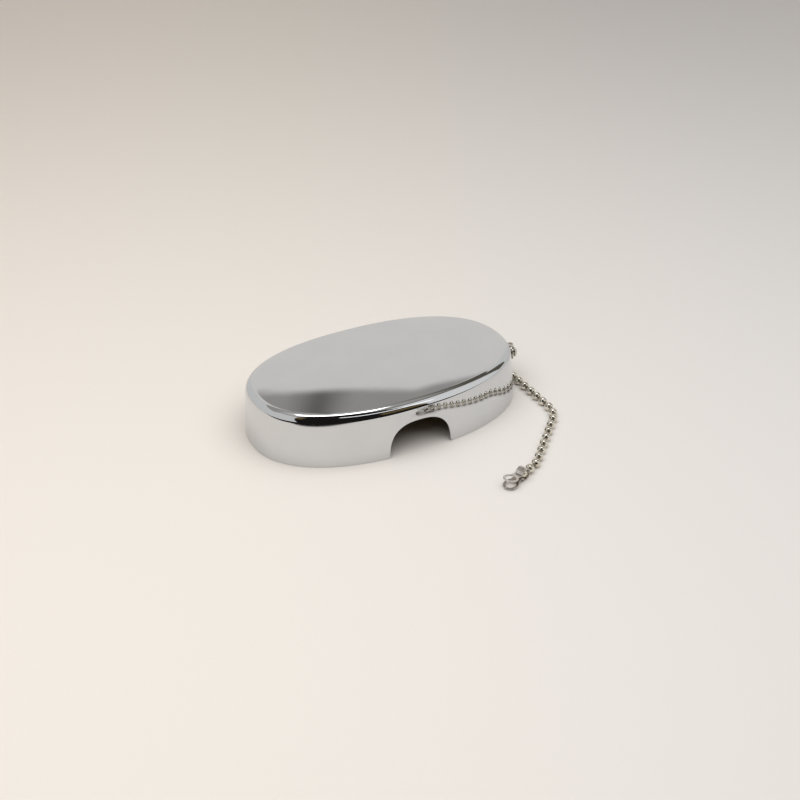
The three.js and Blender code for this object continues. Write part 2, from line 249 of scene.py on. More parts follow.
class Shell:
    """Outer and inner skins with matching points, and the strips that round their free edges."""

    def __init__(self):
        self.outer = []
        self.inner = []
        self.normals = []
        self.sideways = []
        self.upwards = []
        self.quads = []
        self.count = 0

    def add(self, outer, inner, normal, sideways=None, upwards=None):
        shape = outer.shape[:-1]
        number = int(np.prod(shape))
        blank = np.zeros_like(outer)
        self.outer.append(outer.reshape(-1, 3))
        self.inner.append(inner.reshape(-1, 3))
        self.normals.append(normal.reshape(-1, 3))
        self.sideways.append((blank if sideways is None else sideways).reshape(-1, 3))
        self.upwards.append((blank if upwards is None else upwards).reshape(-1, 3))
        index = np.arange(self.count, self.count + number).reshape(shape)
        self.count += number
        return index

    def wall(self, angle, height, inner_angle=None):
        angle, height = np.broadcast_arrays(angle, height)
        inner_angle = angle if inner_angle is None else inner_angle
        plan, normal = outline(angle)
        inner_plan, inner_normal = outline(inner_angle)
        inset, lean = (value[..., None] for value in wall_lean(height))
        outer = upright(plan - normal * inset, height)
        inner = upright(inner_plan - inner_normal * (inset + SHEET / np.cos(lean)), height)
        square = upright(normal * np.cos(lean), np.sin(lean[..., 0]))
        sideways = upright(np.stack([-normal[..., 1], normal[..., 0]], -1), 0)
        upwards = upright(-normal * np.sin(lean), np.cos(lean[..., 0]))
        return self.add(outer, inner, square, sideways, upwards)

    def cells(self, index):
        """Quads of both skins between the points of an index grid."""
        a, b, c, d = index[:-1, :-1], index[1:, :-1], index[1:, 1:], index[:-1, 1:]
        self.quads.extend(np.stack([a, b, c, d], -1).reshape(-1, 4).tolist())

    def build(self, edges, rounding):
        """All points, normals and faces.

        edges lists (loop of indices, directions into the sheet).
        """
        outer, inner = np.concatenate(self.outer), np.concatenate(self.inner)
        normals = np.concatenate(self.normals)
        sideways, upwards = np.concatenate(self.sideways), np.concatenate(self.upwards)
        points, directions = [outer, inner], [normals, -normals]
        faces = [list(q) for q in self.quads]
        faces += [[v + self.count for v in q[::-1]] for q in self.quads]
        total = 2 * self.count
        for loop, into in edges:
            inward = into[:, :1] * sideways[loop] + into[:, 1:] * upwards[loop]
            out = normals[loop]
            rows = [loop]
            for side, start in ((1, outer[loop]), (-1, inner[loop])):
                centre = start - side * rounding * out
                for degrees in STRIP_ANGLES[::side]:
                    turn = math.radians(degrees)
                    direction = side * out * math.cos(turn) - inward * math.sin(turn)
                    points.append(centre + rounding * direction)
                    directions.append(direction)
                    rows.append(np.arange(total, total + len(loop)))
                    total += len(loop)
            rows.append(loop + self.count)
            for low, high in zip(rows, rows[1:]):
                ring = np.stack([low, high, np.roll(high, -1), np.roll(low, -1)], -1)
                faces += ring.tolist()
        return np.concatenate(points), np.concatenate(directions), faces


def notch_edge():
    """Points of the notch's edge, moved RIM_ROUND into the sheet, and directions into it."""
    turn = np.radians(np.linspace(-90, 0, CORNER_STEPS + 1))
    spoke = np.stack([np.cos(turn), np.sin(turn)], -1)
    middle = np.array([-NOTCH_HALF_WIDTH - NOTCH_CORNER, NOTCH_CORNER])
    corner, corner_into = middle + (NOTCH_CORNER - RIM_ROUND) * spoke, -spoke
    start = math.asin((NOTCH_CORNER / NOTCH_HEIGHT) ** (NOTCH_POWER / 2))
    fine = np.linspace(math.pi - start, start, ARCH_POINTS)
    x = NOTCH_HALF_WIDTH * signed_power(np.cos(fine), 2 / NOTCH_POWER)
    z = NOTCH_HEIGHT * np.sin(fine) ** (2 / NOTCH_POWER)
    nx = signed_power(x / NOTCH_HALF_WIDTH, NOTCH_POWER - 1) / NOTCH_HALF_WIDTH
    nz = (z / NOTCH_HEIGHT) ** (NOTCH_POWER - 1) / NOTCH_HEIGHT
    away = np.stack([nx, nz], -1) / np.hypot(nx, nz)[:, None]
    edge = np.stack([x, z], -1) + RIM_ROUND * away
    lengths = np.concatenate([[0], np.cumsum(np.hypot(*np.diff(edge, axis=0).T))])
    steps = 2 * WALL_ROWS + BLOCK_COLUMNS - 2 * CORNER_STEPS
    wanted = np.linspace(0, lengths[-1], steps + 1)[1:-1]
    arch = np.stack([np.interp(wanted, lengths, edge[:, i]) for i in (0, 1)], -1)
    arch_into = np.stack([np.interp(wanted, lengths, away[:, i]) for i in (0, 1)], -1)
    arch_into /= np.hypot(*arch_into.T)[:, None]
    mirror = np.array([-1, 1])
    points = np.concatenate([corner, arch, corner[::-1] * mirror])
    into = np.concatenate([corner_into, arch_into, corner_into[::-1] * mirror])
    return points, into


def notch_angles(points, offset):
    """Outline angles that put a skin's points at the wanted x."""
    angle = front_angle(points[:, 0])
    inset = wall_lean(points[:, 1])[0] + offset
    for _ in range(ANGLE_PASSES):
        _, normal = outline(angle)
        angle = front_angle(points[:, 0] + normal[:, 0] * inset)
    return angle


def crown(share):
    """Part of the crown's rise at a share of the way from the centre to the edge, and its slope."""
    return 1 - share ** CROWN_POWER, -CROWN_POWER * share ** (CROWN_POWER - 1)


def top_rows(shell, angles):
    """Rounded edge and roof over every column of the wall, as closed rings."""
    plan, normal = outline(angles)
    centre_inset = math.tan(DRAFT) * WALL_TOP + WALL_BULGE + EDGE_RADIUS * math.cos(TOP_LEAN)
    centre_height = EDGE_HEIGHT - EDGE_RADIUS
    span = ((plan - normal * centre_inset) * normal).sum(-1)
    slope = np.arctan(-CROWN_RISE * crown(1)[1] / span)
    last = math.pi / 2 - slope
    rings = []
    for row in range(1, FILLET_ROWS + 1):
        turn = (TOP_LEAN + (last - TOP_LEAN) * row / FILLET_ROWS)[:, None]
        direction = np.concatenate([normal * np.cos(turn), np.sin(turn)], -1)
        flat = plan - normal * (centre_inset - EDGE_RADIUS * np.cos(turn))
        outer = upright(flat, centre_height + EDGE_RADIUS * np.sin(turn[:, 0]))
        rings.append(shell.add(outer, outer - SHEET * direction, direction))
    edge, edge_height = flat, outer[:, 2]
    for row in range(1, ROOF_ROWS):
        share = 1 - row / ROOF_ROWS
        rise, steepness = crown(share)
        height = edge_height + (TOTAL_HEIGHT - edge_height) * rise
        tilt = -(TOTAL_HEIGHT - edge_height) * steepness / (edge * normal).sum(-1)
        direction = upright(normal * tilt[:, None], 1)
        direction /= np.linalg.norm(direction, axis=-1)[:, None]
        outer = upright(edge * share, height)
        rings.append(shell.add(outer, outer - SHEET * direction, direction))
    top, facing = np.array([[0.0, 0.0, TOTAL_HEIGHT]]), np.array([[0.0, 0.0, 1.0]])
    pole = shell.add(top, np.array([[0.0, 0.0, TOTAL_HEIGHT - SHEET]]), facing)
    return rings, pole[0]


def rivet_place():
    """Middle of the rivet hole on the wall's outer face, and the outward direction there."""
    swivel = joints["coupling_swivel"]
    outward = Vector(swivel["axis"]).normalized()
    return mm(swivel["pos_m"]) - outward * WALL_STANDOFF, outward


def hole_block(shell, grid, angles, heights):
    """Opens the rivet hole in the wall's grid.

    Returns the block of columns and rows it takes, its loop, and the directions into the sheet.
    """
    centre, _ = rivet_place()
    height = centre.z - BASE_Z
    plan = shell_plan(angles, height)
    angle = angles[np.argmin(np.hypot(*(plan - np.array(centre.xy)).T))]
    _, normal = outline(angle)
    along = (plan - np.array(centre.xy)) @ np.array([-normal[1], normal[0]])
    facing = plan[:, 0] > 0
    columns = np.flatnonzero(facing & (np.abs(along) < HOLE_R * HOLE_BLOCK_REACH[0]))
    rows = np.flatnonzero(np.abs(heights - height) < HOLE_R * HOLE_BLOCK_REACH[1])
    left, right, low, high = columns[0], columns[-1], rows[0], rows[-1]
    around = [(i, low) for i in range(left, right)]
    around += [(right, k) for k in range(low, high)]
    around += [(i, high) for i in range(right, left, -1)]
    around += [(left, k) for k in range(high, low, -1)]
    i, k = np.array(around).T
    border = np.stack([along[i], heights[k] - height], -1)
    spoke = border / np.hypot(*border.T)[:, None]
    order = np.argsort(along[columns])
    rings = [grid[i, k]]
    for part in HOLE_BLOCK_RINGS:
        spot = spoke * (HOLE_R + RIM_ROUND) * (1 - part) + border * part
        column_angle = np.interp(spot[:, 0], along[columns][order], angles[columns][order])
        rings.append(shell.wall(column_angle, height + spot[:, 1]))
    index = np.stack([np.append(ring, ring[0]) for ring in rings], -1)
    shell.cells(index)
    return (left, right, low, high), rings[-1], spoke


def shell_plan(angles, height):
    plan, normal = outline(angles)
    return plan - normal * wall_lean(height)[0]


def make_cap(chrome, inside):
    shell = Shell()
    heights = np.linspace(RIM_ROUND, WALL_TOP, WALL_ROWS + 1)
    left, right = front_angle(-BLOCK_HALF_WIDTH), front_angle(BLOCK_HALF_WIDTH)
    angles = even_angles(right, left + 2 * math.pi, COLUMN_STEP)
    over = np.linspace(left, right, BLOCK_COLUMNS + 1)[1:-1]
    grid = shell.wall(angles[:, None], heights[None, :])
    (first, last, low, high), hole_loop, hole_into = hole_block(shell, grid, angles, heights)
    shell.cells(grid[:first + 1])
    shell.cells(grid[last:])
    shell.cells(grid[first:last + 1, :low + 1])
    shell.cells(grid[first:last + 1, high:])

    edge, edge_into = notch_edge()
    edge_outer, edge_inner = notch_angles(edge, 0), notch_angles(edge, SHEET)
    border_angle = np.concatenate([
        np.full(WALL_ROWS, left), [left], over, [right], np.full(WALL_ROWS, right),
    ])
    border_height = np.concatenate([heights, np.full(len(over), WALL_TOP), heights[::-1]])
    part = np.linspace(0, 1, BLOCK_ROWS + 1)[:-1]
    angle = edge_outer[:, None] * (1 - part) + border_angle[:, None] * part
    inner_angle = angle + (edge_inner - edge_outer)[:, None] * (1 - part)
    height = edge[:, 1:] * (1 - part) + border_height[:, None] * part
    block = shell.wall(angle, height, inner_angle)
    above = shell.wall(over, np.full(len(over), WALL_TOP))
    border = np.concatenate([grid[-1], above, grid[0][::-1]])
    block = np.concatenate([block, border[:, None]], 1)
    shell.cells(block)

    rings, pole = top_rows(shell, np.concatenate([angles, over]))
    rings.insert(0, np.concatenate([grid[:, -1], above]))
    shell.cells(np.stack([np.append(ring, ring[0]) for ring in rings], -1))
    tip = rings[-1]
    rim = np.concatenate([grid[:, 0], block[0, -2:0:-1], block[:, 0], block[-1, 1:-1]])
    upwards = np.array([0.0, 1.0])
    flat = BLOCK_ROWS - 1
    into = np.concatenate([
        np.tile(upwards, (len(grid) + flat, 1)), edge_into, np.tile(upwards, (flat, 1)),
    ])
    points, normals, faces = shell.build([(rim, into), (hole_loop, hole_into)], RIM_ROUND)
    for base, centre in ((0, pole), (shell.count, pole + shell.count)):
        spans = zip(tip.tolist(), np.roll(tip, -1).tolist())
        faces += [[a + base, b + base, int(centre)] for a, b in spans]
    points[:, 2] += BASE_Z
    cap = new_object("cap_shell_polished", points, faces, chrome)
    cap.data.materials.append(inside)
    skin = np.zeros(len(points), bool)
    skin[shell.count:2 * shell.count] = True
    for polygon in cap.data.polygons:
        polygon.material_index = int(all(skin[v] for v in polygon.vertices))
    point_outwards(cap)
    cap.data.normals_split_custom_set_from_vertices(normals.tolist())
    return cap


# ---- turned pieces ----

def bend(centre, radius, start, end, steps, hollow=False):
    """Profile rows (radius, height, normal) round a circle, between two angles in degrees."""
    angle = np.radians(np.linspace(start, end, steps + 1))
    direction = np.stack([np.cos(angle), np.sin(angle)], -1)
    normal = -direction if hollow else direction
    return np.concatenate([np.array(centre) + radius * direction, normal], -1)


def turn(name, rows, angles, matrix, material, groove=None):
    """A smooth object turned about +Z. Open profiles start and end on the axis."""
    closed = rows[0, 0] > 1e-6
    ring = rows if closed else rows[1:-1]
    spoke = np.stack([np.cos(angles), np.sin(angles)], -1)
    depth = np.zeros(len(angles)) if groove is None else groove(angles)
    radius = ring[:, None, 0] - depth[None, :] * np.maximum(ring[:, None, 2], 0)
    height = np.broadcast_to(ring[:, None, 1], radius.shape)
    verts = np.concatenate([radius[..., None] * spoke, height[..., None]], -1).reshape(-1, 3)
    facing = np.broadcast_to(ring[:, None, 3:], (*radius.shape, 1))
    normals = np.concatenate([ring[:, None, 2:3] * spoke, facing], -1).reshape(-1, 3)
    index = np.arange(len(verts)).reshape(radius.shape)
    low = index if closed else index[:-1]
    high = np.roll(index, -1, 0) if closed else index[1:]
    faces = np.stack([low, np.roll(low, -1, 1), np.roll(high, -1, 1), high], -1)
    faces = faces.reshape(-1, 4).tolist()
    if not closed:
        ends = [[0, 0, rows[0, 1]], [0, 0, rows[-1, 1]]]
        for end, row in zip((len(verts), len(verts) + 1), (index[0], index[-1])):
            faces += [[int(a), int(b), end] for a, b in zip(row, np.roll(row, -1))]
        verts = np.concatenate([verts, ends])
        normals = np.concatenate([normals, [[0, 0, -1], [0, 0, 1]]])
    turned = new_object(name, carried(verts, matrix), faces, material)
    point_outwards(turned)
    if groove is None:
        turned.data.normals_split_custom_set_from_vertices(rotated(normals, matrix).tolist())
    return turned


def carried(points, matrix):
    matrix = np.array(matrix)
    return np.asarray(points) @ matrix[:3, :3].T + matrix[:3, 3]


def rotated(directions, matrix):
    return np.asarray(directions) @ np.array(matrix)[:3, :3].T


def placed(origin, x, y, z):
    matrix = Matrix((x, y, z)).transposed().to_4x4()
    matrix.translation = origin
    return matrix


def pointed(origin, direction):
    """A frame whose +Z runs along a direction."""
    matrix = Z_AXIS.rotation_difference(direction).to_matrix().to_4x4()
    matrix.translation = origin
    return matrix


def even_turn(sides):
    return np.linspace(0, 2 * math.pi, sides, endpoint=False)


def make_rivet(material):
    back = -SHEET - 2 * SEAT_GAP - WASHER_THICKNESS
    edge = np.array([RIVET_HEAD_R - RIVET_EDGE, RIVET_STANDOFF + RIVET_EDGE])
    drop = RIVET_EDGE - RIVET_HEAD_RISE
    dome = (edge[0] ** 2 + drop ** 2 - RIVET_EDGE ** 2) / (-2 * (drop + RIVET_EDGE))
    dome_centre = RIVET_STANDOFF + RIVET_HEAD_RISE - dome
    join = math.degrees(math.atan2(edge[1] - dome_centre, edge[0]))
    small = RIVET_EDGE / 2
    shank = RIVET_SHANK_R + small
    tail = back - RIVET_TAIL_RISE + TAIL_ROUND
    rows = np.concatenate([
        [[0, back - RIVET_TAIL_RISE, 0, -1]],
        bend((RIVET_TAIL_R - TAIL_ROUND, tail), TAIL_ROUND, -90, 0, EDGE_STEPS),
        bend((RIVET_TAIL_R - small, back - small), small, 0, 90, SMALL_STEPS),
        bend((shank, back + small), small, 270, 180, SMALL_STEPS, hollow=True),
        bend((shank, RIVET_STANDOFF - small), small, 180, 90, SMALL_STEPS, hollow=True),
        bend(edge, RIVET_EDGE, -90, join, EDGE_STEPS),
        bend((0, dome_centre), dome, join, 90, DOME_STEPS)[1:],
    ])
    matrix = pointed(*rivet_place())
    rivet = turn("chain_rivet_domed", rows, even_turn(RIVET_SIDES), matrix, material)
    stands_for(rivet, "chain_rivet", "cap")


def make_washer(material):
    top = -SHEET - SEAT_GAP
    low, inner, outer = top - WASHER_THICKNESS, HOLE_R, WASHER_R
    small = RIM_ROUND / 2
    rows = np.concatenate([
        bend((outer - small, low + small), small, -90, 0, WASHER_STEPS),
        bend((outer - small, top - small), small, 0, 90, WASHER_STEPS),
        bend((inner + small, top - small), small, 90, 180, WASHER_STEPS),
        bend((inner + small, low + small), small, 180, 270, WASHER_STEPS),
    ])
    matrix = pointed(*rivet_place())
    washer = turn("rivet_washer_round", rows, even_turn(WASHER_SIDES), matrix, material)
    stands_for(washer, "rivet_washer", "cap")


def seam(angle):
    """Depth of the butt seam that runs from hole to hole of a ball."""
    return SEAM_DEPTH * np.exp(-(angle / SEAM_WIDTH) ** 2)


def make_ball(number, near, far, material):
    middle = BALL_R - BALL_SHEET / 2
    edge = math.degrees(math.acos((BALL_HOLE_R + BALL_SHEET / 2) / middle))
    lip_angle = math.radians(edge)
    lip = middle * np.array([math.cos(lip_angle), math.sin(lip_angle)])
    rows = np.concatenate([
        bend((0, 0), BALL_R, -edge, edge, BALL_STEPS),
        bend(lip, BALL_SHEET / 2, edge, edge + 180, LIP_STEPS)[1:],
        bend((0, 0), BALL_R - BALL_SHEET, edge, -edge, BALL_INNER_STEPS, hollow=True)[1:],
        bend(lip * (1, -1), BALL_SHEET / 2, 180 - edge, 360 - edge, LIP_STEPS)[1:-1],
    ])
    near_seam = np.linspace(-SEAM_REACH, SEAM_REACH, SEAM_COLUMNS) * SEAM_WIDTH
    clear = (SEAM_REACH + 1) * SEAM_WIDTH
    angles = np.concatenate([near_seam, np.linspace(clear, 2 * math.pi - clear, BALL_COLUMNS)])
    name = f"ball_{number:02d}"
    matrix = pointed((near + far) / 2, far - near) @ Matrix.Rotation(SEAM_TURN * number, 4, "Z")
    ball = turn(f"{name}_hollow", rows, angles, matrix, material, groove=seam)
    stands_for(ball, name, name)


def make_link(number, near, far, material):
    length = (far - near).length
    neck = WIRE_R + WIRE_ROUND
    rise = math.sqrt((HEAD_R + WIRE_ROUND) ** 2 - neck ** 2)
    join = math.degrees(math.atan2(rise, neck))
    rows = np.concatenate([
        bend((0, 0), HEAD_R, -90, join, HEAD_STEPS),
        bend((neck, rise), WIRE_ROUND, 180 + join, 180, SMALL_STEPS, hollow=True)[1:],
        bend((neck, length - rise), WIRE_ROUND, 180, 180 - join, SMALL_STEPS, hollow=True),
        bend((0, length), HEAD_R, -join, 90, HEAD_STEPS)[1:],
    ])
    rows[[0, -1], 0] = 0
    name = f"link_{number:02d}"
    matrix = pointed(near, far - near)
    link = turn(f"{name}_wire", rows, even_turn(LINK_SIDES), matrix, material)
    stands_for(link, name, name)


# ---- couplings ----

def strip_path(opening, distance):
    """Middle line of the folded strip in the (x, z) plane, with its outer normal.

    Distance counts from the front of the fold, up over the barrel, round the crease and out
    along the upper leaf.
    """
    radius = (SOCKET_R + SOCKET_INNER_R) / 2
    off = (CLOSED_GAP + COUPLING_SHEET) / 2
    lift = off + CREASE_R
    centre = np.array([-math.sqrt((radius + CREASE_R) ** 2 - lift ** 2), lift])
    top = math.atan2(centre[1], centre[0])
    barrel = radius * (top - opening)
    crease = CREASE_R * (top - math.pi / 2)
    distance = np.asarray(distance)
    angle = np.clip(distance, 0, barrel) / radius + opening
    swing = top - math.pi - np.clip(distance - barrel, 0, crease) / CREASE_R
    run = np.maximum(distance - barrel - crease, 0)
    on_barrel = distance <= barrel
    on_crease = distance <= barrel + crease
    x = np.where(on_barrel, radius * np.cos(angle), centre[0] + CREASE_R * np.cos(swing) - run)
    z = np.where(on_barrel, radius * np.sin(angle), centre[1] + CREASE_R * np.sin(swing))
    nx = np.where(on_barrel, np.cos(angle), np.where(on_crease, -np.cos(swing), 0))
    nz = np.where(on_barrel, np.sin(angle), np.where(on_crease, -np.sin(swing), 1))
    c, s = math.cos(opening), math.sin(opening)
    eyelet = barrel + crease + COUPLING_LENGTH + centre[0]
    return (x * c + z * s, z * c - x * s), (nx * c + nz * s, nz * c - nx * s), eyelet


def circle(centre, radius, start, end, step):
    count = max(int(abs(math.radians(end - start)) * radius / step), 4)
    return bend(centre, radius, start, end, count)[:, :2]


def strip_outline(eyelet, step):
    """Edge of the unfolded strip, moved STRIP_ROUND inwards, anticlockwise."""
    half, ring = NECK_HALF_WIDTH - STRIP_ROUND, EYELET_R - STRIP_ROUND
    blend_r = SHOULDER_R + STRIP_ROUND
    back = math.sqrt((ring + blend_r) ** 2 - (half + blend_r) ** 2)
    join = math.degrees(math.atan2(half + blend_r, back))
    side = np.linspace(-eyelet + back, eyelet - back, int(2 * (eyelet - back) / step))[1:-1]
    quarter = np.concatenate([
        circle((eyelet, 0), ring, 0, 180 - join, step),
        circle((eyelet - back, half + blend_r), blend_r, -join, -90, step)[1:],
    ])
    upper = np.concatenate([
        quarter, np.stack([side[::-1], np.full(len(side), half)], -1), quarter[::-1] * (-1, 1),
    ])
    return np.concatenate([upper, upper[-2:0:-1] * (1, -1)])


def in_metal(points, loops):
    """Which points are inside the first loop and outside the others."""
    crossings = np.zeros(len(points), int)
    for loop in loops:
        for a, b in zip(loop, np.roll(loop, -1, 0)):
            spans = (a[1] > points[:, 1]) != (b[1] > points[:, 1])
            with np.errstate(divide="ignore", invalid="ignore"):
                x = a[0] + (points[:, 1] - a[1]) / (b[1] - a[1]) * (b[0] - a[0])
            crossings += spans & (points[:, 0] < x)
    return crossings % 2 == 1


def strip_pattern(eyelet):
    """Points and triangles of the flat strip, and its edge loops with directions into the metal."""
    ring = EYELET_HOLE_R + STRIP_ROUND
    radius = (SOCKET_R + SOCKET_INNER_R) / 2
    mouth = circle((0, 0), SOCKET_MOUTH_R + STRIP_ROUND, 360, 0, STRIP_STEP)[:-1]
    mouth[:, 0] = radius * np.arcsin(mouth[:, 0] * MOUTH_STRETCH / radius)
    eyelets = [circle((side * eyelet, 0), ring, 360, 0, STRIP_STEP)[:-1] for side in (1, -1)]
    loops = [strip_outline(eyelet, STRIP_STEP), *eyelets, mouth]
    reach = eyelet + EYELET_R
    x = np.arange(-reach, reach, STRIP_STEP)
    y = np.arange(-EYELET_R, EYELET_R, STRIP_STEP * math.sqrt(3) / 2)
    grid = np.stack(np.meshgrid(x, y, indexing="ij"), -1)
    grid[:, ::2, 0] += STRIP_STEP / 2
    grid = grid.reshape(-1, 2)
    edge_points = np.concatenate(loops)
    near = np.full(len(grid), np.inf)
    for point in edge_points:
        near = np.minimum(near, np.hypot(*(grid - point).T))
    grid = grid[(near > STRIP_CLEARANCE * STRIP_STEP) & in_metal(grid, loops)]
    points = np.concatenate([edge_points, grid])
    edges, start, indices, into = [], 0, [], []
    for loop in loops:
        index = np.arange(start, start + len(loop))
        edges += np.stack([index, np.roll(index, -1)], -1).tolist()
        along = np.roll(loop, -1, 0) - np.roll(loop, 1, 0)
        inward = np.stack([-along[:, 1], along[:, 0]], -1)
        indices.append(index)
        into.append(inward / np.hypot(*inward.T)[:, None])
        start += len(loop)
    found = delaunay_2d_cdt([Vector(p) for p in points], edges, [], 1, MERGE_DISTANCE)
    flat = np.array([tuple(v) for v in found[0]])
    faces = np.array([list(face) for face in found[2]])
    faces = faces[in_metal(flat[faces].mean(1), loops)]
    number = {old: new for new, olds in enumerate(found[3]) for old in olds}
    indices = [np.array([number[i] for i in index.tolist()]) for index in indices]
    return flat, faces.tolist(), list(zip(indices, into))


def make_coupling(node, opening, matrix, material):
    *_, eyelet = strip_path(opening, 0.0)
    flat, triangles, loops = strip_pattern(eyelet)
    side = np.where(flat[:, 0] < 0, -1, 1)
    (x, z), (nx, nz), _ = strip_path(opening, np.abs(flat[:, 0]))
    middle = np.stack([x, flat[:, 1], z * side], -1)
    normal = np.stack([nx, np.zeros(len(flat)), nz * side], -1)
    shell = Shell()
    half = COUPLING_SHEET / 2
    along = np.stack([-normal[:, 2], np.zeros(len(flat)), normal[:, 0]], -1)
    across = np.tile([0.0, 1.0, 0.0], (len(flat), 1))
    shell.add(middle + half * normal, middle - half * normal, normal, along, across)
    shell.quads = triangles
    points, normals, faces = shell.build(loops, STRIP_ROUND)
    coupling = new_object(f"{node}_folded", carried(points, matrix), faces, material)
    point_outwards(coupling)
    coupling.data.normals_split_custom_set_from_vertices(rotated(normals, matrix).tolist())
    stands_for(coupling, node, node)


def cap_coupling_place():
    above = Vector(joints["coupling_swivel"]["axis"]).normalized()
    socket = mm(joints["ball_01_tilt"]["pos_m"])
    along = (socket - mm(joints["coupling_swivel"]["pos_m"])).normalized()
    side = above.cross(along).normalized()
    return placed(socket, along, side, along.cross(side))


def free_coupling_place():
    """The lower leaf's outward direction is known from its mount, and the leaves open evenly."""
    mount = next(m for m in frame["record"]["mounts"] if m["name"] == "anchor_eyelet")
    socket = mm(joints["free_coupling_swing"]["pos_m"])
    side = Z_AXIS.cross(socket - mm(mount["pos_m"])).normalized()
    leaf = side.cross(-Vector(mount["axis"])).normalized()
    along = Matrix.Rotation(FREE_END_OPENING, 3, side) @ leaf
    return placed(socket, along, side, along.cross(side))


# ---- materials ----

class Term:
    """A number in a node tree. Arithmetic on it adds math nodes."""

    def __init__(self, tree, socket):
        self.tree, self.socket = tree, socket

    def math(self, operation, *others):
        node = self.tree.nodes.new("ShaderNodeMath")
        node.operation = operation
        for place, value in zip(node.inputs, (self, *others)):
            connect(self.tree, value, place)
        return Term(self.tree, node.outputs[0])

    def __add__(self, other):
        return self.math("ADD", other)

    def __sub__(self, other):
        return self.math("SUBTRACT", other)

    def __mul__(self, other):
        return self.math("MULTIPLY", other)

    def above(self, edge, softness):
        """0 below the edge and 1 above it."""
        node = self.tree.nodes.new("ShaderNodeMapRange")
        node.interpolation_type = "SMOOTHSTEP"
        connect(self.tree, self - edge, node.inputs["Value"])
        node.inputs["From Min"].default_value = -softness
        node.inputs["From Max"].default_value = softness
        return Term(self.tree, node.outputs["Result"])

    def between(self, low, high, softness):
        return self.above(low, softness) * (self * -1).above(-high, softness)

    def spread(self, low, high):
        """The 0 to 1 range moved to low to high."""
        return self * (high - low) + low


def connect(tree, value, place):
    if isinstance(value, Term):
        tree.links.new(value.socket, place)
    elif isinstance(value, tuple):
        place.default_value = (*value, 1)
    else:
        place.default_value = value


def mixed(tree, share, first, second):
    node = tree.nodes.new("ShaderNodeMix")
    node.data_type = "RGBA"
    for place, value in ((0, share), (6, first), (7, second)):
        connect(tree, value, node.inputs[place])
    return Term(tree, node.outputs[2])


def dot(tree, vector, direction):
    node = tree.nodes.new("ShaderNodeVectorMath")
    node.operation = "DOT_PRODUCT"
    connect(tree, vector, node.inputs[0])
    node.inputs[1].default_value = direction
    return Term(tree, node.outputs["Value"])


class Finish:
    """A Principled material whose patterns are sized in millimetres and ride with the piece."""

    def __init__(self, name, colour, metallic=1.0):
        self.material = bpy.data.materials.new(name)
        self.material.use_nodes = True
        self.tree = self.material.node_tree
        self.shader = self.tree.nodes["Principled BSDF"]
        self.place = Term(self.tree, self.tree.nodes.new("ShaderNodeTexCoord").outputs["Object"])
        self.set("Metallic", metallic)
        self.set("Base Color", colour)

    def set(self, name, value):
        connect(self.tree, value, self.shader.inputs[name])

    def stretched(self, scale):
        node = self.tree.nodes.new("ShaderNodeMapping")
        connect(self.tree, self.place, node.inputs["Vector"])
        node.inputs["Scale"].default_value = scale
        return Term(self.tree, node.outputs["Vector"])

    def noise(self, size, detail=3.0, low=0.35, high=0.65, scale=None):
        """0 to 1 cloudy pattern with features of a size in millimetres."""
        node = self.tree.nodes.new("ShaderNodeTexNoise")
        connect(self.tree, self.stretched(scale) if scale else self.place, node.inputs["Vector"])
        node.inputs["Scale"].default_value = 1 / (size * MM)
        node.inputs["Detail"].default_value = detail
        spread = self.tree.nodes.new("ShaderNodeMapRange")
        connect(self.tree, Term(self.tree, node.outputs["Fac"]), spread.inputs["Value"])
        spread.inputs["From Min"].default_value = low
        spread.inputs["From Max"].default_value = high
        return Term(self.tree, spread.outputs["Result"])

    def bump(self, height, distance, strength=1.0):
        """Relief from a 0 to 1 height, with its depth in millimetres."""
        node = self.tree.nodes.new("ShaderNodeBump")
        node.inputs["Distance"].default_value = distance * MM
        node.inputs["Strength"].default_value = strength
        connect(self.tree, height, node.inputs["Height"])
        self.tree.links.new(node.outputs["Normal"], self.shader.inputs["Normal"])


def chrome_finish():
    """Bright chrome plate: faint haze and wipe marks, with a barely wavy pressed surface."""
    finish = Finish("cap_chrome", (0.65, 0.665, 0.685))
    haze = finish.noise(14, detail=5)
    wiped = finish.noise(0.9, detail=2, low=0.5, high=0.8, scale=(0.12, 1, 1))
    finish.set("Roughness", haze.spread(0.035, 0.05) + wiped * 0.02)
    finish.set("Base Color", mixed(finish.tree, haze, (0.64, 0.655, 0.675), (0.665, 0.675, 0.69)))
    finish.bump(finish.noise(7, detail=1, low=0, high=1), 0.004)
    return finish.material


def inside_finish():
    """Bare pressed brass under the plate, dulled and stained by salt water."""
    finish = Finish("cap_inside", (0.3, 0.24, 0.15))
    stain = finish.noise(5, detail=6)
    spots = finish.noise(1.1, detail=3, low=0.55, high=0.7)
    base = mixed(finish.tree, stain, (0.15, 0.105, 0.055), (0.24, 0.185, 0.115))
    finish.set("Base Color", mixed(finish.tree, spots, base, (0.09, 0.07, 0.045)))
    finish.set("Roughness", stain.spread(0.32, 0.5) + spots * 0.1)
    finish.bump(finish.noise(0.5, detail=4), 0.02, 0.5)
    return finish.material


def nickel_finish(name, clean, worn, roughness, pattern, grain, depth):
    """Nickel plate with tarnish in patches and fine marks. Sizes are in millimetres."""
    finish = Finish(name, clean)
    patch = finish.noise(pattern, detail=4, low=0.4, high=0.7)
    marks = finish.noise(grain, detail=3)
    finish.set("Base Color", mixed(finish.tree, patch, clean, worn))
    finish.set("Roughness", patch.spread(*roughness) + marks * 0.04)
    finish.bump(marks, depth)
    return finish.material


